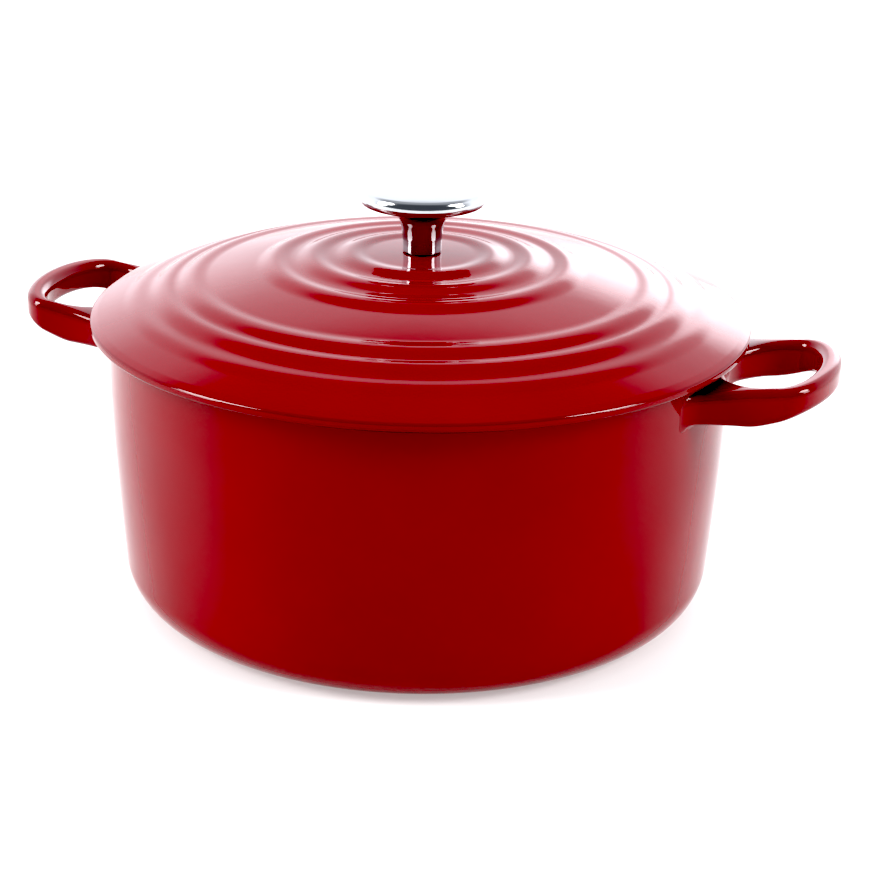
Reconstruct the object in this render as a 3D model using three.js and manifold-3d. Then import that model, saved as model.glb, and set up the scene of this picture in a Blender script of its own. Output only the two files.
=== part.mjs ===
// Round enamelled cast iron dutch oven: a pot with two loop handles, a ringed lid and its knob.
// Millimetres, +Z up, origin at the centre of the pot's flat base, handles along +X and -X.
import * as THREE from 'three';
import { mergeVertices } from 'three/addons/utils/BufferGeometryUtils.js';
import Module from 'manifold-3d';

const wasm = await Module();
wasm.setup();

// ---- driving dimensions ----
const GAP = 0.35;              // clearance between pieces that touch
const SEGMENTS = 56;           // facets round the large castings, a multiple of four
const SMALL_SEGMENTS = 32;     // facets round the knob and its fasteners

const pot = {
  height: 125, rimRadius: 137.2, wall: 4.6, floor: 5.2,
  straightFrom: 100, draft: 6.74, draftPower: 1.25,   // the wall narrows below straightFrom
  corner: 19.6, innerCorner: 15, rimEdge: 1.2,
};

const handle = {
  top: 124.4, topFrom: 165, topRise: 0.132,           // height at topFrom, and its rise outwards
  underRoot: 107.2, underTip: 115.6, underStart: 153, underEnd: 184, edge: 2.4,
};

// The loop's outside and its finger hole, seen from above: a side that bends out from a root in
// the pot wall and runs straight from sideX to endFrom, then half an ellipse out to the tip.
const outerSide = {
  rootX: 118, rootHalf: 49.7, bendX: 142.6, sideX: 167.2, half: 37.6, endFrom: 167.2, tip: 185.3,
};
const holeSide = {
  rootX: 134, rootHalf: 8, bendX: 147, sideX: 160, half: 31, endFrom: 163, tip: 176,
};

const lid = {
  radius: 145, seat: 125.4, rimHeight: 4.2, rimEdge: 1.6, crown: 156.2, drop: 26.7, domePower: 2.12,
  thickness: 5, flangeOuter: 131.2, flangeWidth: 3.6, flangeDepth: 4, hole: 3.4, hub: 14,
};

// raised rings on the lid: crest radius, half width and height
const lidRings = [
  { crest: 31, halfWidth: 8, height: 1.05 },
  { crest: 48, halfWidth: 8, height: 1.25 },
  { crest: 65, halfWidth: 8, height: 1.35 },
  { crest: 101, halfWidth: 8, height: 1.35 },
  { crest: 112.5, halfWidth: 7, height: 1.25 },
  { crest: 125, halfWidth: 6, height: 0.6 },
];

const knob = {
  stem: 8.5, neck: 14, disc: 27.6, top: 186.4, edgeTop: 183.3, edgeBottom: 178,
  underside: 174.5, stemTop: 169, boreDepth: 14,
};

const fastener = {
  shank: 2.6, head: 5.4, headHeight: 3.4, recess: 2.2, recessWidth: 1.1, recessDepth: 1.8,
  washer: 9, washerHeight: 1.2, lockWasher: 5.6, lockHeight: 1.6, lockSlot: 1.6, bore: 3.2,
};

// ---- materials ----
const enamel = new THREE.MeshStandardMaterial({ color: 0xa80610, roughness: 0.12, metalness: 0 });
const steel = new THREE.MeshStandardMaterial({ color: 0xc9cdd2, roughness: 0.12, metalness: 1 });
const zinc = new THREE.MeshStandardMaterial({ color: 0xaab0b5, roughness: 0.4, metalness: 1 });

// ---- solids ----
function toSolid(geometry) {
  const bare = geometry.clone();
  bare.deleteAttribute('normal');
  bare.deleteAttribute('uv');
  const merged = mergeVertices(bare, 1e-4);
  return new wasm.Manifold(new wasm.Mesh({
    numProp: 3,
    vertProperties: new Float32Array(merged.attributes.position.array),
    triVerts: new Uint32Array(merged.index.array),
  }));
}

function toGeometry(solid) {
  const mesh = solid.getMesh();
  const geometry = new THREE.BufferGeometry();
  geometry.setAttribute('position', new THREE.BufferAttribute(mesh.vertProperties, 3));
  geometry.setIndex(new THREE.BufferAttribute(mesh.triVerts, 1));
  geometry.computeVertexNormals();
  return geometry;
}

// A profile of [radius, height] points, turned about +Z; it runs upwards on the outside.
function revolve(profile, segments = SEGMENTS) {
  const points = profile.map(([radius, height]) => new THREE.Vector2(radius, height));
  const geometry = new THREE.LatheGeometry(points, segments);
  return toSolid(geometry.rotateX(Math.PI / 2));
}

// A flat outline in x and y, extruded from height bottom to height top.
function prism(shape, bottom, top, edge = 0) {
  const geometry = new THREE.ExtrudeGeometry(shape, {
    depth: top - bottom - 2 * edge,
    bevelEnabled: edge > 0, bevelSize: edge, bevelOffset: -edge, bevelThickness: edge,
    bevelSegments: 2, curveSegments: 6,
  });
  return toSolid(geometry.translate(0, 0, bottom + edge));
}

// Points on an arc of the profile, angles in degrees from the outward radius towards +Z.
function arc(radius, height, size, from, to, steps) {
  return Array.from({ length: steps + 1 }, (_, i) => {
    const angle = THREE.MathUtils.degToRad(from + (to - from) * i / steps);
    return [radius + size * Math.cos(angle), height + size * Math.sin(angle)];
  });
}

function range(from, to, steps) {
  return Array.from({ length: steps + 1 }, (_, i) => from + (to - from) * i / steps);
}

// ---- pot ----
function wallRadius(z) {
  const below = Math.max(0, pot.straightFrom - z) / pot.straightFrom;
  return pot.rimRadius - pot.draft * below ** pot.draftPower;
}

function potShell(radiusOffset, bottom, corner, top) {
  const cornerTop = bottom + corner;
  const centre = wallRadius(cornerTop) - radiusOffset - corner;
  const wall = range(cornerTop, pot.straightFrom, 5).map((z) => [wallRadius(z) - radiusOffset, z]);
  return [[0, bottom], ...arc(centre, cornerTop, corner, -90, -15, 5), ...wall, ...top];
}

function potOutside() {
  const edge = pot.rimRadius - pot.rimEdge;
  return revolve(potShell(0, 0, pot.corner,
    [...arc(edge, pot.height - pot.rimEdge, pot.rimEdge, 0, 90, 2), [0, pot.height]]));
}

function potCavity() {
  const inner = pot.rimRadius - pot.wall;
  const mouth = [[inner, pot.height - 1], [inner + 1, pot.height], [inner + 2, pot.height + 1]];
  return revolve(potShell(pot.wall, pot.floor, pot.innerCorner, [...mouth, [0, pot.height + 1]]));
}

function loopOutline(side, shape) {
  shape.moveTo(side.rootX, -side.rootHalf);
  shape.quadraticCurveTo(side.bendX, -side.half, side.sideX, -side.half);
  shape.lineTo(side.endFrom, -side.half);
  shape.absellipse(side.endFrom, 0, side.tip - side.endFrom, side.half, -Math.PI / 2, Math.PI / 2);
  shape.lineTo(side.sideX, side.half);
  shape.quadraticCurveTo(side.bendX, side.half, side.rootX, side.rootHalf);
  shape.closePath();
  return shape;
}

// What is cut away under the loop, so that it thins towards the tip.
function handleUnderside() {
  const low = handle.underRoot - 20;
  const beyond = outerSide.tip + 10;
  const inside = outerSide.rootX - 10;
  const shape = new THREE.Shape();
  shape.moveTo(inside, low);
  shape.lineTo(beyond, low);
  shape.lineTo(beyond, handle.underTip);
  shape.lineTo(handle.underEnd, handle.underTip);
  const middle = (handle.underStart + handle.underEnd) / 2;
  shape.bezierCurveTo(middle, handle.underTip, middle, handle.underRoot, handle.underStart, handle.underRoot);
  shape.lineTo(inside, handle.underRoot);
  const reach = outerSide.rootHalf + 20;
  return prism(shape, -reach, reach).rotate([90, 0, 0]);
}

function handleLoop() {
  const outline = loopOutline(outerSide, new THREE.Shape());
  outline.holes.push(loopOutline(holeSide, new THREE.Path()));
  const flat = prism(outline, handle.underRoot - 10, handle.top, handle.edge);
  const tilted = flat.warp((point) => {
    if (point[2] > handle.underTip) point[2] += handle.topRise * (point[0] - handle.topFrom);
  });
  return tilted.subtract(handleUnderside());
}

function makePot() {
  const loop = handleLoop();
  const body = potOutside().add(loop).add(loop.rotate([0, 0, 180])).subtract(potCavity());
  return new THREE.Mesh(toGeometry(body), enamel);
}

// ---- lid ----
function lidDome(r) {
  return lid.crown - lid.drop * (r / lid.radius) ** lid.domePower;
}

function lidTop(r) {
  const rings = lidRings.reduce((sum, ring) => {
    const off = Math.min(1, Math.abs(r - ring.crest) / ring.halfWidth);
    return sum + ring.height * (1 + Math.cos(Math.PI * off)) / 2;
  }, 0);
  return lidDome(r) + rings;
}

function makeLid() {
  const rim = lid.radius - lid.rimEdge;
  const rimTop = lid.seat + lid.rimHeight - lid.rimEdge;
  const top = range(rim - 2, lid.hole + 8, 38).map((r) => [r, lidTop(r)]);
  const under = range(lid.hub, lid.flangeOuter - lid.flangeWidth, 6)
    .map((r) => [r, lidDome(r) - lid.thickness]);
  const flangeInner = lid.flangeOuter - lid.flangeWidth;
  const flangeBottom = lid.seat - lid.flangeDepth;
  const hub = lidDome(lid.hub) - lid.thickness;
  const profile = [
    [lid.hole, hub], ...under,
    [flangeInner, flangeBottom], [lid.flangeOuter, flangeBottom], [lid.flangeOuter, lid.seat],
    ...arc(rim, lid.seat + lid.rimEdge, lid.rimEdge, -90, 0, 2),
    ...arc(rim, rimTop, lid.rimEdge, 0, 60, 2),
    ...top, [lid.hole, lid.crown], [lid.hole, hub],
  ];
  return new THREE.Mesh(toGeometry(revolve(profile)), enamel);
}

// ---- knob and its fasteners ----
function makeKnob() {
  const base = lid.crown + GAP;
  const bore = fastener.shank + GAP;
  const flare = new THREE.QuadraticBezierCurve(
    new THREE.Vector2(knob.stem, knob.stemTop), new THREE.Vector2(knob.stem, knob.underside - 1),
    new THREE.Vector2(knob.neck, knob.underside)).getPoints(5).map((p) => [p.x, p.y]);
  const dome = range(1, 0, 8).map((t) => [
    (knob.disc - 0.8) * t, knob.top - (knob.top - knob.edgeTop) * t ** 4]);
  const profile = [
    [0, base + knob.boreDepth], [bore, base + knob.boreDepth], [bore, base], [knob.stem, base],
    ...flare, [knob.disc - 1.8, knob.edgeBottom], [knob.disc, knob.edgeBottom + 1.5],
    [knob.disc, knob.edgeTop - 0.9], ...dome,
  ];
  return new THREE.Mesh(toGeometry(revolve(profile, SMALL_SEGMENTS)), steel);
}

const hubUnderside = lidDome(lid.hub) - lid.thickness;
const washerTop = hubUnderside - GAP;
const lockTop = washerTop - fastener.washerHeight - GAP;
const headTop = lockTop - fastener.lockHeight - GAP;

function ring(outer, inner, bottom, top) {
  return revolve([[inner, bottom], [outer, bottom], [outer, top], [inner, top], [inner, bottom]],
    SMALL_SEGMENTS);
}

function box(width, depth, bottom, top, x = 0, y = 0) {
  const geometry = new THREE.BoxGeometry(width, depth, top - bottom);
  return toSolid(geometry.translate(x, y, (top + bottom) / 2));
}

function makeWasher() {
  const bottom = washerTop - fastener.washerHeight;
  return new THREE.Mesh(toGeometry(ring(fastener.washer, fastener.bore, bottom, washerTop)), zinc);
}

function makeLockWasher() {
  const bottom = lockTop - fastener.lockHeight;
  const slot = box(fastener.lockWasher * 2, fastener.lockSlot, bottom - 1, lockTop + 1, fastener.lockWasher);
  const split = ring(fastener.lockWasher, fastener.bore, bottom, lockTop).subtract(slot);
  return new THREE.Mesh(toGeometry(split), zinc);
}

function makeScrew() {
  const bottom = headTop - fastener.headHeight;
  const tip = lid.crown + knob.boreDepth - 1;
  const profile = [
    [0, bottom], [fastener.head - 1.4, bottom], [fastener.head - 0.3, bottom + 0.9],
    [fastener.head, headTop], [fastener.shank, headTop], [fastener.shank, tip - 0.8],
    [fastener.shank - 0.8, tip], [0, tip],
  ];
  const arm = fastener.recess * 2;
  const recessTop = bottom + fastener.recessDepth;
  const cross = box(arm, fastener.recessWidth, bottom - 1, recessTop)
    .add(box(fastener.recessWidth, arm, bottom - 1, recessTop));
  return new THREE.Mesh(toGeometry(revolve(profile, SMALL_SEGMENTS).subtract(cross)), zinc);
}

// ---- assembly ----
function named(mesh, name) {
  mesh.name = name;
  return mesh;
}

const lidGroup = new THREE.Group();
lidGroup.add(
  named(makeLid(), 'lid'),
  named(makeKnob(), 'knob'),
  named(makeScrew(), 'knob_screw'),
  named(makeWasher(), 'flat_washer'),
  named(makeLockWasher(), 'lock_washer'),
);

const group = new THREE.Group();
group.add(named(makePot(), 'pot'), lidGroup);

export default group;
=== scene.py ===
import math

import bpy
import numpy as np
from mathutils import Matrix, Vector


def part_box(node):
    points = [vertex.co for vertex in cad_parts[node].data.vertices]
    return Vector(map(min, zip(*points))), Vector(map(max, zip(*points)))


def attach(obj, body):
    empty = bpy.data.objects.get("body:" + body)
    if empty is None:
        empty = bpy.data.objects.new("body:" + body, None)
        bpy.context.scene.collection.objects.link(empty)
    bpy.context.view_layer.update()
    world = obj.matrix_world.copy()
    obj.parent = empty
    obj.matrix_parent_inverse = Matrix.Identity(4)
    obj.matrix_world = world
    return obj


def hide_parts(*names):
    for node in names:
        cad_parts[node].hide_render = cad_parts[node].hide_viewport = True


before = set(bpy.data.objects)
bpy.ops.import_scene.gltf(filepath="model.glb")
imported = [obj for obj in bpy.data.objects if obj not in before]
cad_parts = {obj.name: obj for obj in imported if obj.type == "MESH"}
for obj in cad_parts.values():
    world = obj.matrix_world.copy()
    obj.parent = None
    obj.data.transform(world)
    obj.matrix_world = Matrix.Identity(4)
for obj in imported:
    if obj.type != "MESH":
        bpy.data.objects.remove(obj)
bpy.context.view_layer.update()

# The object's own sizes are in millimetres here, and MM brings them to the frame's metres.
MM = 0.001

# pot
POT_RADIUS = 137.2
POT_HEIGHT = 125.0
POT_WALL = 4.6
POT_FLOOR = 5.2
POT_CORNER = 19.6
POT_INNER_CORNER = 15.0
POT_RIM_EDGE = 1.2
WALL_STRAIGHT_FROM = 100.0  # below this height the wall draws in, by WALL_DRAFT at the base
WALL_DRAFT = 6.74
WALL_DRAFT_POWER = 1.25
RIM_BAND = 122.9            # the black rim starts at this height outside

# loop handles: both edges of the loop end in half an ellipse, and the top rises outwards
HANDLE_TIP = 185.3
HANDLE_HALF = 37.6
HANDLE_END_FROM = 167.2
HANDLE_FLARE = 2.0          # how far each side moves out over FLARE_LENGTH towards the pot
FLARE_LENGTH = 20.0
HOLE_TIP = 176.0
HOLE_HALF = 31.0
HOLE_END_FROM = 163.0
HOLE_ROOT = ((134.0, 8.0), (147.0, 31.0), (160.0, 31.0))    # its curve at the pot: start, bend, end
HANDLE_TOP = 124.4          # at TOP_FROM, rising by TOP_RISE a millimetre
TOP_FROM = 165.0
TOP_RISE = 0.132
HANDLE_UNDER_ROOT = 107.2
HANDLE_UNDER_TIP = 115.6
HANDLE_UNDER_START = 153.0  # from here to the next distance, the underside rises from root to tip
HANDLE_UNDER_END = 184.0
HANDLE_TOP_EDGE = 3.3       # radius of the loop's upper edges
HANDLE_LOW_EDGE = 2.8
HANDLE_CROWN = 0.35         # how far the middle of its top stands above a flat one
SIDE_FILLET = 5.0           # where the loop blends into the wall: at its sides, below and above
LOW_FILLET = 2.2
HIGH_FILLET = 0.9

# lid; its seat is where it rests on the rim
LID_RADIUS = 145.0
LID_SEAT = 125.4
LID_RIM_HEIGHT = 4.2
LID_RIM_EDGE = 1.6
LID_CROWN = 156.2
LID_DROP = 26.7
LID_DOME_POWER = 2.12
LID_THICKNESS = 5.0
LID_HUB = 14.0
LID_HOLE = 3.4
FLANGE_OUTER = 131.2
FLANGE_WIDTH = 3.6
FLANGE_DEPTH = 4.0
FLANGE_EDGE = 0.8
# raised rings on the lid: crest radius, half width and height
LID_RINGS = (
    (31.0, 8.0, 1.05), (48.0, 8.0, 1.25), (65.0, 8.0, 1.35),
    (101.0, 8.0, 1.35), (112.5, 7.0, 1.25), (125.0, 6.0, 0.6),
)

# knob, from the stem up
KNOB_BORE = 2.95
KNOB_BORE_DEPTH = 14.0
KNOB_STEM = 8.5
KNOB_STEM_END = 160.0
# its outline above the stem as curves: where each bends, where it ends, and its steps
KNOB_CURVES = (
    ((9.0, 169.5), (10.6, 171.5), 20),      # neck
    ((11.7, 173.3), (14.4, 174.4), 10),     # flare
    ((20.0, 176.3), (25.6, 178.0), 10),     # underside of the disc
    ((27.45, 178.4), (27.6, 180.5), 10),    # its lower edge
    ((27.66, 181.3), (27.5, 182.1), 6),     # its side
    ((27.1, 184.2), (25.0, 184.7), 20),     # its shoulder
)
KNOB_TOP = 186.35

# fasteners
WASHER_HOLE = 3.2
FLAT_WASHER = 9.0
LOCK_WASHER = 5.6
LOCK_RISE = 0.25            # how far the split ends stand apart in height
LOCK_SPLIT = 9.0            # half of the split's opening, in degrees
SCREW_SHANK = 2.6
SCREW_HEAD = 5.4
SCREW_HEAD_HEIGHT = 3.4
SCREW_HEAD_FLAT = 3.4       # radius where the head's face starts to round over
SCREW_HEAD_DISH = 0.25
RECESS_REACH = 2.5
RECESS_WIDTH = 0.62         # half the width of the cross recess's blades
RECESS_DEPTH = 2.0

ROUND = 256                 # facets round the large castings
ROUND_SMALL = 96            # facets round the knob and its fasteners


# ---------------------------------------------------------------- outlines
def arc(x, y, size, start, end, steps):
    """Points on an arc of a profile; angles in degrees, from +x towards +y."""
    angles = [math.radians(start + (end - start) * i / steps) for i in range(steps + 1)]
    return [(x + size * math.cos(a), y + size * math.sin(a)) for a in angles]


def span(start, end, steps):
    """Evenly spaced numbers from start to end, both included."""
    return [start + (end - start) * i / steps for i in range(steps + 1)]


def line(start, end, steps):
    first, last = np.array(start), np.array(end)
    return [tuple(first + (last - first) * t) for t in span(0, 1, steps)]


def quadratic(start, bend, end, steps):
    """Points on a quadratic Bezier curve, which leaves start towards bend."""
    points = []
    for t in span(0, 1, steps):
        points.append(tuple(
            (1 - t) ** 2 * a + 2 * t * (1 - t) * b + t * t * c for a, b, c in zip(start, bend, end)))
    return points


def joined(*runs):
    """Runs of points as one outline, without the points that repeat where they meet."""
    points = []
    for run in runs:
        for point in run:
            if not points or math.dist(points[-1], point) > 1e-5:
                points.append(point)
    return points


# ---------------------------------------------------------------- meshes
def make_object(name, vertices, faces, marks):
    """A smooth mesh piece from millimetre vertices; marks are per-vertex floats read by materials."""
    mesh = bpy.data.meshes.new(name)
    mesh.from_pydata([Vector(v) * MM for v in vertices], [], faces)
    for key, values in marks.items():
        layer = mesh.attributes.new(key, "FLOAT", "POINT")
        layer.data.foreach_set("value", np.asarray(values, dtype=np.float32))
    mesh.shade_smooth()
    mesh.update()
    piece = bpy.data.objects.new(name, mesh)
    bpy.context.scene.collection.objects.link(piece)
    return piece


def profile_marks(profile, closed, radius=2.5):
    """How sharply each profile point bulges outwards, 1 for an edge as tight as radius."""
    count = len(profile)
    marks = []
    for i in range(count):
        if not closed and i in (0, count - 1):
            marks.append(0.0)
            continue
        before, here, after = (np.array(profile[(i + k) % count]) for k in (-1, 0, 1))
        one, two = here - before, after - here
        turn = math.atan2(one[0] * two[1] - one[1] * two[0], one @ two)
        length = (np.linalg.norm(one) + np.linalg.norm(two)) / 2
        marks.append(max(-1.0, min(1.0, turn / length * radius)))
    return marks


def lathe(profile, segments, closed):
    """Vertices, faces and profile indices of a profile turned about Z; it runs up on the outside."""
    vertices, faces, owner, rows = [], [], [], []
    for index, (radius, height) in enumerate(profile):
        first = len(vertices)
        steps = 1 if radius < 1e-6 else segments
        for step in range(steps):
            angle = 2 * math.pi * step / segments
            vertices.append((radius * math.cos(angle), radius * math.sin(angle), height))
            owner.append(index)
        rows.append([first + (step % steps) for step in range(segments + 1)])
    pairs = list(zip(rows, rows[1:] + rows[:1]))
    for low, high in pairs if closed else pairs[:-1]:
        for step in range(segments):
            quad = (low[step], low[step + 1], high[step + 1], high[step])
            corners = list(dict.fromkeys(quad))
            if len(corners) > 2:
                faces.append(corners)
    return vertices, faces, owner


def turned(name, profile, segments, closed=False, marks=None):
    """A piece turned about Z. marks maps a name to a list with one value per profile point."""
    vertices, faces, owner = lathe(profile, segments, closed)
    layers = {"edge": profile_marks(profile, closed), **(marks or {})}
    layers = {key: [values[i] for i in owner] for key, values in layers.items()}
    return make_object(name, vertices, faces, layers)


# ---------------------------------------------------------------- pot
def wall_radius(z):
    """The pot's outer radius at a height."""
    below = max(0.0, WALL_STRAIGHT_FROM - z) / WALL_STRAIGHT_FROM
    return POT_RADIUS - WALL_DRAFT * below ** WALL_DRAFT_POWER


def shell_profile(inset, bottom, corner, steps):
    """From the axis along the floor, round the corner and up the wall to where it is straight."""
    corner_top = bottom + corner
    centre = wall_radius(corner_top) - inset - corner
    floor = [(r, bottom) for r in span(0, centre - 1, 24)]
    wall = [(wall_radius(z) - inset, z) for z in span(corner_top + 1, WALL_STRAIGHT_FROM, 40)]
    return joined(floor, arc(centre, corner_top, corner, -90, -5, steps), wall)


def pot_profile():
    """The pot's outline, and which of its points are cream inside or black on the rim."""
    edge = POT_RADIUS - POT_RIM_EDGE
    edge_height = POT_HEIGHT - POT_RIM_EDGE
    inner = POT_RADIUS - POT_WALL
    border = 0.25               # height over which one coat gives way to the other
    band_inside = RIM_BAND - 1
    outside = joined(
        shell_profile(0, 0, POT_CORNER, 24),
        [(POT_RADIUS, z) for z in span(WALL_STRAIGHT_FROM + 2, RIM_BAND - border, 8)])
    rim = joined(
        [(POT_RADIUS, z) for z in span(RIM_BAND, edge_height, 3)],
        arc(edge, edge_height, POT_RIM_EDGE, 0, 90, 6),
        arc(inner + POT_RIM_EDGE, edge_height, POT_RIM_EDGE, 90, 180, 6), [(inner, band_inside)])
    inside = joined(
        [(inner, band_inside - border)], shell_profile(POT_WALL, POT_FLOOR, POT_INNER_CORNER, 20)[::-1])
    marks = {
        "inner": [0.0] * (len(outside) + len(rim)) + [1.0] * len(inside),
        "rim": [0.0] * len(outside) + [1.0] * len(rim) + [0.0] * len(inside),
    }
    return joined(outside, rim, inside), marks


def rounded_section(width, height, top_edge, bottom_edge, steps=5, side=6):
    """A bar's section as (across, up) points, anticlockwise from the inner bottom corner."""
    low, high = min(bottom_edge, width / 2 - 0.1), min(top_edge, width / 2 - 0.1)
    points = arc(low, low, low, 180, 270, steps)
    points += line((low, 0), (width - low, 0), side)[1:-1]
    points += arc(width - low, low, low, -90, 0, steps)
    points += line((width, low), (width, height - high), side)[1:-1]
    points += arc(width - high, height - high, high, 0, 90, steps)
    points += line((width - high, height), (high, height), side)[1:-1]
    points += arc(high, height - high, high, 90, 180, steps)
    points += line((0, height - high), (0, low), side)[1:-1]
    return points


def section_edges(steps=5, side=6):
    """The edge marks of rounded_section's points: 1 on its upper corners and less on its lower ones."""
    flat = [0.0] * (side - 1)
    lower, upper = [0.6] * (steps + 1), [1.0] * (steps + 1)
    return (lower + flat) * 2 + (upper + flat) * 2


def underside(x):
    """The height of the loop's underside, which rises smoothly towards the tip."""
    t = (x - HANDLE_UNDER_START) / (HANDLE_UNDER_END - HANDLE_UNDER_START)
    t = max(0.0, min(1.0, t))
    return HANDLE_UNDER_ROOT + (HANDLE_UNDER_TIP - HANDLE_UNDER_ROOT) * t * t * (3 - 2 * t)


def fillet(distance, size):
    """How far a surface has swung out where it stands this far from the wall that it blends into."""
    inside = max(0.0, size - max(0.0, distance))
    return size - math.sqrt(size * size - inside * inside)


def handle_top(x):
    return HANDLE_TOP + TOP_RISE * (x - TOP_FROM)


def end_curve(tip, half, start, steps):
    """A quarter of the ellipse that ends the loop, from its side to its tip."""
    angles = [math.radians(a) for a in span(90, 0, steps)]
    return [(start + (tip - start) * math.cos(a), half * math.sin(a)) for a in angles]


def outer_side(x):
    """Half the loop's outer width where its side flares towards the pot."""
    return HANDLE_HALF + HANDLE_FLARE * ((HANDLE_END_FROM - x) / FLARE_LENGTH) ** 2


def polar(run):
    """A run of x and y points as their radii and their angles."""
    return [math.hypot(x, y) for x, y in run], [math.atan2(y, x) for x, y in run]


def root_sections():
    """The loop's sections on circles about the pot, from inside the wall to where the hole is full."""
    outer = polar([(x, outer_side(x)) for x in span(120, HANDLE_END_FROM, 40)])
    lead = tuple(2 * a - b for a, b in zip(*HOLE_ROOT[:2]))
    inner = polar(joined(line(lead, HOLE_ROOT[0], 8), quadratic(*HOLE_ROOT, 40)))
    near = [SIDE_FILLET * (1 - math.cos(math.radians(a))) for a in span(0, 90, 14)]
    far = span(SIDE_FILLET, math.hypot(*HOLE_ROOT[2]) - POT_RADIUS, 18)
    sections = []
    for distance in [-1.2, -0.4] + near + far[1:]:
        radius = POT_RADIUS + distance
        swing = fillet(distance, SIDE_FILLET) / radius
        sections.append({
            "radius": radius,
            "inner": np.interp(radius, *inner) - swing, "outer": np.interp(radius, *outer) + swing,
            "low": fillet(distance, LOW_FILLET), "high": fillet(distance, HIGH_FILLET)})
    return sections


def end_sections(outer_start):
    """The (inner, outer) ends of the sections from the full hole to the middle of the bar."""
    inner_path = line(HOLE_ROOT[2], (HOLE_END_FROM, HOLE_HALF), 5)
    outer_path = [(x, outer_side(x)) for x in span(outer_start, HANDLE_END_FROM, 5)]
    inner_path += end_curve(HOLE_TIP, HOLE_HALF, HOLE_END_FROM, 44)[1:]
    outer_path += end_curve(HANDLE_TIP, HANDLE_HALF, HANDLE_END_FROM, 44)[1:]
    return list(zip(inner_path, outer_path))[1:]


def section_points(width, centre_x, where, low=0.0, high=0.0):
    """A section's vertices; where gives x and y from the distance across the bar."""
    height = handle_top(centre_x) - underside(centre_x)
    points = []
    for across, up in rounded_section(width, height, HANDLE_TOP_EDGE, HANDLE_LOW_EDGE):
        x, y = where(across)
        bottom, top = underside(x) - low, handle_top(x) + high
        crown = HANDLE_CROWN * math.sin(math.pi * across / width) * (up / height)
        points.append((x, y, bottom + (top - bottom) * up / height + crown))
    return points


def root_points(section):
    radius, inner, outer = section["radius"], section["inner"], section["outer"]

    def where(across):
        angle = inner + across / radius
        return radius * math.cos(angle), radius * math.sin(angle)

    centre_x = radius * math.cos((inner + outer) / 2)
    return section_points(radius * (outer - inner), centre_x, where, section["low"], section["high"])


def end_points(inner, outer):
    inner, outer = np.array(inner), np.array(outer)
    width = float(np.linalg.norm(outer - inner))
    centre_x = float((inner + outer)[0] / 2)
    return section_points(width, centre_x, lambda across: inner + (outer - inner) * across / width)


def half_loop():
    """Rings of vertices from inside the wall to the middle of the bar, on the +Y side."""
    roots = root_sections()
    last = roots[-1]
    outer_start = last["radius"] * math.cos(last["outer"])
    return [root_points(s) for s in roots] + [end_points(*ends) for ends in end_sections(outer_start)]


def make_loop(side):
    """One loop handle; side is 1 for the +X handle and -1 for the -X one."""
    half = half_loop()
    mirrored = [[(x, -y, z) for x, y, z in ring] for ring in half[-2::-1]]
    rings = half + mirrored
    count = len(rings[0])
    vertices = [(side * x, side * y, z) for ring in rings for x, y, z in ring]
    faces = []
    for ring in range(len(rings) - 1):
        for i in range(count):
            j = (i + 1) % count
            low, high = ring * count, (ring + 1) * count
            faces.append((low + j, low + i, high + i, high + j))
    last = (len(rings) - 1) * count
    faces.append(tuple(range(count)))
    faces.append(tuple(last + i for i in reversed(range(count))))
    edge = section_edges() * len(rings)
    zeros = [0.0] * len(vertices)
    return make_object("loop", vertices, faces, {"edge": edge, "inner": zeros, "rim": zeros})


def join(target, *others):
    """Makes the other pieces part of the target's mesh."""
    with bpy.context.temp_override(
            active_object=target, object=target, selected_editable_objects=[target, *others],
            selected_objects=[target, *others]):
        bpy.ops.object.join()
    return target


def make_pot():
    profile, marks = pot_profile()
    body = turned("pot_casting", profile, ROUND, marks=marks)
    return join(body, make_loop(1), make_loop(-1))


# ---------------------------------------------------------------- lid
def lid_dome(r):
    return LID_CROWN - LID_DROP * (r / LID_RADIUS) ** LID_DOME_POWER


def lid_top(r):
    """The height of the lid's top surface: the dome and its rings."""
    rings = 0.0
    for crest, half_width, height in LID_RINGS:
        off = min(1.0, abs(r - crest) / half_width)
        rings += height * (1 + math.cos(math.pi * off)) / 2
    return lid_dome(r) + rings


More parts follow.
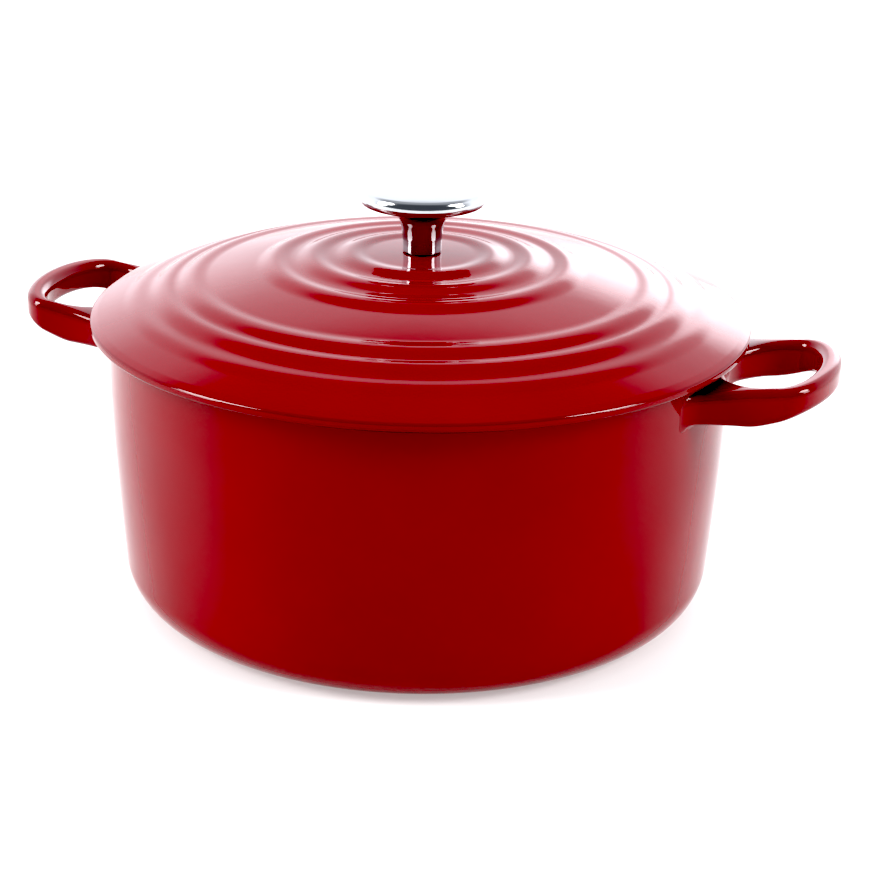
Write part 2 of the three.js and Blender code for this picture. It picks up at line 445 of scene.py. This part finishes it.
def make_lid():
    rim = LID_RADIUS - LID_RIM_EDGE
    rim_top = LID_SEAT + LID_RIM_HEIGHT - LID_RIM_EDGE
    flange_inner = FLANGE_OUTER - FLANGE_WIDTH
    flange_low = LID_SEAT - FLANGE_DEPTH + FLANGE_EDGE
    hub = lid_dome(LID_HUB) - LID_THICKNESS
    under = [(r, lid_dome(r) - LID_THICKNESS) for r in span(LID_HUB, flange_inner - 3, 50)]
    bend = (flange_inner, lid_dome(flange_inner) - LID_THICKNESS - 0.5)
    below = joined(
        [(LID_HOLE, hub + 0.4), (LID_HOLE + 0.4, hub)],
        [(r, hub) for r in span(LID_HOLE + 1, LID_HUB, 5)],
        under, quadratic(under[-1], bend, (flange_inner, LID_SEAT + 1), 8))
    seat = joined(
        arc(flange_inner + FLANGE_EDGE, flange_low, FLANGE_EDGE, 180, 270, 5),
        arc(FLANGE_OUTER - FLANGE_EDGE, flange_low, FLANGE_EDGE, -90, 0, 5),
        [(FLANGE_OUTER, LID_SEAT - 0.3), (FLANGE_OUTER + 0.3, LID_SEAT)],
        line((FLANGE_OUTER + 1, LID_SEAT), (rim - 1, LID_SEAT), 5))
    above = joined(
        arc(rim, LID_SEAT + LID_RIM_EDGE, LID_RIM_EDGE, -90, 0, 8),
        arc(rim, rim_top, LID_RIM_EDGE, 0, 70, 8),
        [(r, lid_top(r)) for r in span(rim - 1.5, LID_HOLE + 1, 186)],
        [(LID_HOLE, LID_CROWN - 0.6)])
    black_above = 2             # the black coat wraps a little way round the rim
    black = len(seat) + black_above
    red = len(above) - black_above
    marks = {
        "inner": [1.0] * len(below) + [0.0] * (black + red),
        "rim": [0.0] * len(below) + [1.0] * black + [0.0] * red,
    }
    profile = joined(below, seat, above)
    return turned("lid_casting", profile, ROUND, closed=True, marks=marks)


# ---------------------------------------------------------------- knob and fasteners
def cad_height(node, end):
    """The lowest (end 0) or highest (end 1) height of a CAD node, in millimetres."""
    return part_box(node)[end][2] / MM


def make_knob():
    base = cad_height("knob", 0)
    bore_end = base + KNOB_BORE_DEPTH
    soft = 0.4
    bottom = joined(
        [(0, bore_end), (KNOB_BORE - 0.3, bore_end), (KNOB_BORE, bore_end - 0.3)],
        [(KNOB_BORE, base + soft), (KNOB_BORE + soft, base), (KNOB_STEM - 0.5, base)],
        arc(KNOB_STEM - soft, base + soft, soft, -90, 0, 4),
        [(KNOB_STEM, z) for z in span(base + 1, KNOB_STEM_END - 0.5, 6)])
    start = (KNOB_STEM, KNOB_STEM_END)
    side = []
    for bend, end, steps in KNOB_CURVES:
        side += quadratic(start, bend, end, steps)
        start = end
    reach, shoulder = start
    sag = KNOB_TOP - shoulder
    dome = [(r, KNOB_TOP - sag * (r / reach) ** 4) for r in span(reach, 0, 60)]
    return turned("knob_turning", joined(bottom, side, dome), ROUND_SMALL)


def soft_ring(inner, outer, bottom, top, edge):
    """A flat ring's closed profile with its edges rounded."""
    corners = ((outer, bottom, -90), (outer, top, 0), (inner, top, 90), (inner, bottom, 180))
    points = []
    for x, y, start in corners:
        centre_x = x + (-edge if x == outer else edge)
        centre_y = y + (edge if y == bottom else -edge)
        points += arc(centre_x, centre_y, edge, start, start + 90, 4)
    return points


def make_flat_washer():
    bottom, top = cad_height("flat_washer", 0), cad_height("flat_washer", 1)
    profile = soft_ring(WASHER_HOLE, FLAT_WASHER, bottom, top, 0.25)
    return turned("flat_washer_ring", profile, ROUND_SMALL, closed=True)


def make_lock_washer():
    """A split ring whose two ends stand a little apart in height."""
    bottom, top = cad_height("lock_washer", 0), cad_height("lock_washer", 1)
    section = soft_ring(WASHER_HOLE, LOCK_WASHER, bottom + LOCK_RISE / 2, top - LOCK_RISE / 2, 0.2)
    opening = math.radians(LOCK_SPLIT)
    turns = span(opening, 2 * math.pi - opening, ROUND_SMALL)
    vertices = []
    for angle in turns:
        lift = LOCK_RISE * (angle / (2 * math.pi) - 0.5)
        vertices += [(x * math.cos(angle), x * math.sin(angle), z + lift) for x, z in section]
    count = len(section)
    faces = [tuple(range(count)), tuple(reversed(range(len(vertices) - count, len(vertices))))]
    for ring in range(len(turns) - 1):
        for i in range(count):
            j = (i + 1) % count
            low, high = ring * count, (ring + 1) * count
            faces.append((low + i, high + i, high + j, low + j))
    return make_object("lock_washer_ring", vertices, faces, {"edge": [0.0] * len(vertices)})


def cut(target, cutter):
    """Takes the cutter's volume out of the target's mesh, and deletes the cutter."""
    step = target.modifiers.new("cut", "BOOLEAN")
    step.operation = "DIFFERENCE"
    step.solver = "EXACT"
    step.object = cutter
    evaluated = target.evaluated_get(bpy.context.evaluated_depsgraph_get())
    result = bpy.data.meshes.new_from_object(evaluated)
    target.modifiers.clear()
    target.data = result
    bpy.data.objects.remove(cutter)


def make_blade(bottom):
    """One tapering blade of the cross recess, along X, to be cut out of the screw's head."""
    reach, width = RECESS_REACH, RECESS_WIDTH
    corners = [(-reach, -width), (reach, -width), (reach, width), (-reach, width)]
    vertices = [(x, y, bottom - 0.5) for x, y in corners]
    vertices += [(x * 0.45, y * 0.7, bottom + RECESS_DEPTH) for x, y in corners]
    faces = [(3, 2, 1, 0), (4, 5, 6, 7)]
    faces += [(i, (i + 1) % 4, 4 + (i + 1) % 4, 4 + i) for i in range(4)]
    return make_object("recess", vertices, faces, {})


def make_screw():
    bottom, tip = cad_height("knob_screw", 0), cad_height("knob_screw", 1)
    head_top = bottom + SCREW_HEAD_HEIGHT
    soft, chamfer = 0.3, 0.8
    face = [(r, bottom + SCREW_HEAD_DISH * (r / SCREW_HEAD_FLAT) ** 2) for r in span(0, SCREW_HEAD_FLAT, 8)]
    profile = joined(
        face, quadratic(face[-1], (5.2, bottom + 0.7), (SCREW_HEAD, bottom + 2.2), 8),
        [(SCREW_HEAD, head_top - soft), (SCREW_HEAD - soft, head_top)],
        [(SCREW_SHANK + soft, head_top), (SCREW_SHANK, head_top + soft)],
        [(SCREW_SHANK, z) for z in span(head_top + 1, tip - chamfer, 12)],
        [(SCREW_SHANK - chamfer, tip), (0, tip)])
    screw = turned("knob_screw_turning", profile, ROUND_SMALL)
    for turn in (45, 135):
        blade = make_blade(bottom)
        blade.data.transform(Matrix.Rotation(math.radians(turn), 4, "Z"))
        cut(screw, blade)
    screw.data.shade_smooth()
    screw.data.set_sharp_from_angle(angle=math.radians(40))
    return screw


# ---------------------------------------------------------------- materials
class Tree:
    """A short way to write nodes. An input is given a value or another node's output."""

    def __init__(self, owner):
        owner.use_nodes = True
        self.nodes = owner.node_tree.nodes
        self.links = owner.node_tree.links

    def add(self, kind, inputs=(), **settings):
        node = self.nodes.new(kind)
        for key, value in settings.items():
            setattr(node, key, value)
        for key, value in dict(inputs).items():
            self.feed(node.inputs[key], value)
        return node

    def feed(self, socket, value):
        if isinstance(value, bpy.types.NodeSocket):
            self.links.new(value, socket)
        else:
            socket.default_value = value

    def math(self, operation, *values):
        return self.add("ShaderNodeMath", enumerate(values), operation=operation).outputs[0]

    def spread(self, value, low, high, to_low=0.0, to_high=1.0, kind="LINEAR"):
        """Runs from to_low, where the value is low or less, to to_high, where it is high or more."""
        inputs = enumerate((value, low, high, to_low, to_high))
        return self.add("ShaderNodeMapRange", inputs, interpolation_type=kind).outputs[0]


class Nodes(Tree):
    """A material's nodes, which end in one Principled shader."""

    def __init__(self, name):
        self.material = bpy.data.materials.new(name)
        super().__init__(self.material)
        self.shader = self.nodes["Principled BSDF"]
        self.place = self.add("ShaderNodeTexCoord").outputs["Object"]

    def noise(self, size_mm, detail, place=None):
        node = self.add("ShaderNodeTexNoise", {
            "Vector": place or self.place, "Scale": 1 / (size_mm * MM), "Detail": detail})
        return node.outputs["Fac"]

    def mark(self, name):
        return self.add("ShaderNodeAttribute", attribute_name=name).outputs["Fac"]

    def mix(self, share, one, two):
        return self.add("ShaderNodeMix", {0: share, 6: one, 7: two}, data_type="RGBA").outputs[2]

    def bump(self, height, depth_mm, normal=None):
        inputs = {"Height": height, "Distance": depth_mm * MM, "Strength": 1.0}
        if normal:
            inputs["Normal"] = normal
        return self.add("ShaderNodeBump", inputs).outputs["Normal"]

    def finish(self, **inputs):
        for key, value in inputs.items():
            self.feed(self.shader.inputs[key.replace("_", " ")], value)
        return self.material


RED = (0.215, 0.003, 0.007, 1)
RED_DEEP = (0.155, 0.0015, 0.004, 1)
BLACK_COAT = (0.012, 0.011, 0.011, 1)
CREAM = (0.78, 0.73, 0.63, 1)
CREAM_DARK = (0.66, 0.60, 0.50, 1)
SPECK = (0.35, 0.28, 0.2, 1)
STEEL = (0.60, 0.615, 0.63, 1)
STEEL_HAZY = (0.54, 0.555, 0.575, 1)
PLATING = (0.62, 0.62, 0.61, 1)
PLATING_DULL = (0.48, 0.48, 0.47, 1)
GROUND = (0.66, 0.66, 0.66, 1)
GROUND_DARK = (0.63, 0.63, 0.63, 1)
GROUND_GLOW = 0.34          # keeps the ground pale under and round the pot


def enamel_material():
    """Gloss red enamel, cream where a vertex is marked inner and matte black where it is marked rim."""
    n = Nodes("enamel")
    cloud = n.noise(38, 3)
    fine = n.noise(5.5, 2)
    speck = n.spread(n.noise(1.1, 1), 0.70, 0.78)
    edge = n.mark("edge")
    deep = n.math("MULTIPLY", n.spread(edge, 0.25, 1.0), 0.55)
    deep = n.math("ADD", deep, n.spread(cloud, 0.35, 0.75, 0.0, 0.22))
    red = n.mix(deep, RED, RED_DEEP)
    cream = n.mix(n.spread(cloud, 0.4, 0.7), CREAM, CREAM_DARK)
    cream = n.mix(n.math("MULTIPLY", speck, 0.25), cream, SPECK)
    inner, rim = n.mark("inner"), n.mark("rim")
    colour = n.mix(rim, n.mix(inner, red, cream), BLACK_COAT)
    smooth = n.spread(fine, 0.3, 0.7, 0.06, 0.105)
    smooth = n.math("ADD", smooth, n.math("MULTIPLY", inner, 0.12))
    rough = n.math("ADD", smooth, n.math("MULTIPLY", rim, 0.42))
    grain = n.math("MULTIPLY", n.noise(0.5, 2), rim)
    wave = n.bump(cloud, 0.10)
    peel = n.bump(fine, 0.014, wave)
    return n.finish(Base_Color=colour, Roughness=rough, Normal=n.bump(grain, 0.06, peel))


def polished_steel():
    """Mirror steel with faint rubbing marks that run round the knob."""
    n = Nodes("polished_steel")
    flattened = n.add("ShaderNodeMapping", {"Vector": n.place, "Scale": (1, 1, 6)}).outputs[0]
    rub = n.noise(0.35, 2, flattened)
    haze = n.noise(9, 3)
    colour = n.mix(haze, STEEL, STEEL_HAZY)
    rough = n.math("ADD", n.spread(haze, 0.3, 0.7, 0.045, 0.085), n.math("MULTIPLY", rub, 0.03))
    return n.finish(Base_Color=colour, Roughness=rough, Metallic=1.0, Normal=n.bump(rub, 0.0008))


def plated_steel():
    """Dull plating, cloudy and a little rough, for the fasteners."""
    n = Nodes("plated_steel")
    streak = n.noise(0.4, 3)
    colour = n.mix(n.noise(3, 2), PLATING, PLATING_DULL)
    rough = n.spread(streak, 0.3, 0.7, 0.24, 0.42)
    return n.finish(Base_Color=colour, Roughness=rough, Metallic=1.0, Normal=n.bump(streak, 0.008))


def floor_material():
    n = Nodes("floor")
    tone = n.mix(n.noise(240, 2), GROUND, GROUND_DARK)
    return n.finish(
        Base_Color=tone, Roughness=0.7, Emission_Color=(1, 1, 1, 1), Emission_Strength=GROUND_GLOW)


# ---------------------------------------------------------------- stage
VIEW_AZIMUTH = 18.0         # degrees that the camera stands round from the front, towards +X
CAMERA_BACK = 928.9         # level distance from the pot's axis
CAMERA_HEIGHT = 421.5
AIM_RIGHT = 7.8             # it looks at a point this far right of the axis
AIM_HEIGHT = 69.8
CAMERA_ROLL = 1.18          # degrees
FOCAL_LENGTH = 90.73
FLOOR_HALF = 12000
BLACK_LEVEL = 0.085
WHITE_LEVEL = 0.85

# far soft lights: degrees right of straight behind, degrees up, how wide they look, and strength
SOFTBOXES = {
    "softbox_left": (-100, 36, 28, 2.15),
    "softbox_left_low": (-100, 14, 20, 0.7),
    "softbox_right": (108, 38, 24, 1.75),
    "softbox_right_low": (108, 16, 18, 0.5),
}
CEILING = (180, 84, 60, 0.55)
LIGHT_DISTANCE = 1000
ROOM_LIGHT = 0.2
WORLD_COLOUR = (1.0, 1.02, 1.08, 1)


def seen_from_camera(right, back, height):
    """A point in metres, from millimetres to the camera's right, back towards it, and up."""
    turn = Matrix.Rotation(math.radians(VIEW_AZIMUTH), 4, "Z")
    return turn @ (Vector((right, -back, height)) * MM)


def add_camera():
    data = bpy.data.cameras.new("camera")
    data.lens = FOCAL_LENGTH
    data.sensor_width = 36
    camera = bpy.data.objects.new("camera", data)
    bpy.context.scene.collection.objects.link(camera)
    place = seen_from_camera(0, CAMERA_BACK, CAMERA_HEIGHT)
    aim = seen_from_camera(AIM_RIGHT, 0, AIM_HEIGHT)
    facing = (aim - place).to_track_quat("-Z", "Y").to_matrix().to_4x4()
    roll = Matrix.Rotation(math.radians(CAMERA_ROLL), 4, "Z")
    camera.matrix_world = Matrix.Translation(place) @ facing @ roll
    bpy.context.scene.camera = camera


def add_floor():
    signs = ((-1, -1), (1, -1), (1, 1), (-1, 1))
    corners = [(x * FLOOR_HALF, y * FLOOR_HALF, 0) for x, y in signs]
    floor = make_object("floor", corners, [(0, 1, 2, 3)], {})
    floor.data.materials.append(floor_material())


class World(Tree):
    """The world's nodes; directions are as the camera sees them."""

    def __init__(self):
        self.world = bpy.data.worlds.new("studio")
        super().__init__(self.world)
        self.background = self.nodes["Background"]
        self.direction = self.add("ShaderNodeTexCoord").outputs["Generated"]

    def towards(self, right, up):
        """The cosine of the angle to a direction: degrees right of straight behind, and up."""
        turn, rise = math.radians(VIEW_AZIMUTH - right), math.radians(up)
        way = (-math.sin(turn) * math.cos(rise), math.cos(turn) * math.cos(rise), math.sin(rise))
        node = self.add("ShaderNodeVectorMath", {0: self.direction, 1: way}, operation="DOT_PRODUCT")
        return node.outputs["Value"]

    def ramp(self, value, low, high, to_low=0.0, to_high=1.0):
        return self.spread(value, low, high, to_low, to_high, "SMOOTHSTEP")

    def seen_directly(self):
        """1 where the camera sees the world itself, which keeps the background pale from any side."""
        return self.add("ShaderNodeLightPath").outputs["Is Camera Ray"]


def add_world():
    """A white screen behind the object, brightest low on the right, and a dim room in front."""
    w = World()
    up = w.towards(0, 90)
    screen = w.ramp(w.towards(0, 0), -0.4, 0.3)
    # the screen dims from 36 degrees up to 54, and is a little brighter low down
    top = w.ramp(up, math.sin(math.radians(36)), math.sin(math.radians(54)), 1.0, 0.3)
    low = w.ramp(up, 0.0, 0.55, 1.45, 1.2)
    screen = w.math("MULTIPLY", w.math("MULTIPLY", screen, top), low)
    # a strong soft patch of light on the right and a weak one on the left
    wide, narrow = math.cos(math.radians(17)), math.cos(math.radians(4))
    glow = w.ramp(w.towards(19, 11), wide, narrow, 0.0, 2.4)
    side = w.ramp(w.towards(-22, 14), wide, narrow, 0.0, 0.35)
    strength = w.math("ADD", w.math("ADD", screen, ROOM_LIGHT), w.math("ADD", glow, side))
    w.feed(w.background.inputs["Strength"], w.math("ADD", strength, w.seen_directly()))
    w.feed(w.background.inputs["Color"], WORLD_COLOUR)
    bpy.context.scene.world = w.world


def add_softbox(name, right, up, spread, strength):
    """A far soft light that shines on the origin."""
    data = bpy.data.lights.new(name, "SUN")
    data.angle = math.radians(spread)
    data.energy = strength
    light = bpy.data.objects.new(name, data)
    bpy.context.scene.collection.objects.link(light)
    turn, rise = math.radians(right), math.radians(up)
    level = LIGHT_DISTANCE * math.cos(rise)
    place = seen_from_camera(
        level * math.sin(turn), -level * math.cos(turn), LIGHT_DISTANCE * math.sin(rise))
    facing = (-place).to_track_quat("-Z", "Y").to_matrix().to_4x4()
    light.matrix_world = Matrix.Translation(place) @ facing
    return light


def add_lights():
    for name, settings in SOFTBOXES.items():
        add_softbox(name, *settings)
    ceiling = add_softbox("ceiling", *CEILING)
    ceiling.visible_glossy = False


def set_tone():
    """The contrast of a product photograph: deep blacks, and a ground that goes white."""
    view = bpy.context.scene.view_settings
    view.view_transform = "Standard"
    view.look = "None"
    view.use_curve_mapping = True
    view.curve_mapping.black_level = (BLACK_LEVEL,) * 3
    view.curve_mapping.white_level = (WHITE_LEVEL,) * 3
    view.curve_mapping.update()


# ---------------------------------------------------------------- assembly
def add_piece(piece, body, node, material):
    """Puts a finished piece in the model: its body, the CAD node it stands for, and its finish."""
    piece.data.materials.clear()
    piece.data.materials.append(material)
    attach(piece, body)
    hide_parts(node)


def assemble():
    enamel, steel, plated = enamel_material(), polished_steel(), plated_steel()
    add_piece(make_pot(), "pot", "pot", enamel)
    add_piece(make_lid(), "lid", "lid", enamel)
    add_piece(make_knob(), "lid", "knob", steel)
    add_piece(make_screw(), "lid", "knob_screw", plated)
    add_piece(make_lock_washer(), "lid", "lock_washer", plated)
    add_piece(make_flat_washer(), "lid_carrier", "flat_washer", plated)


add_camera()
add_floor()
add_world()
add_lights()
set_tone()
assemble()
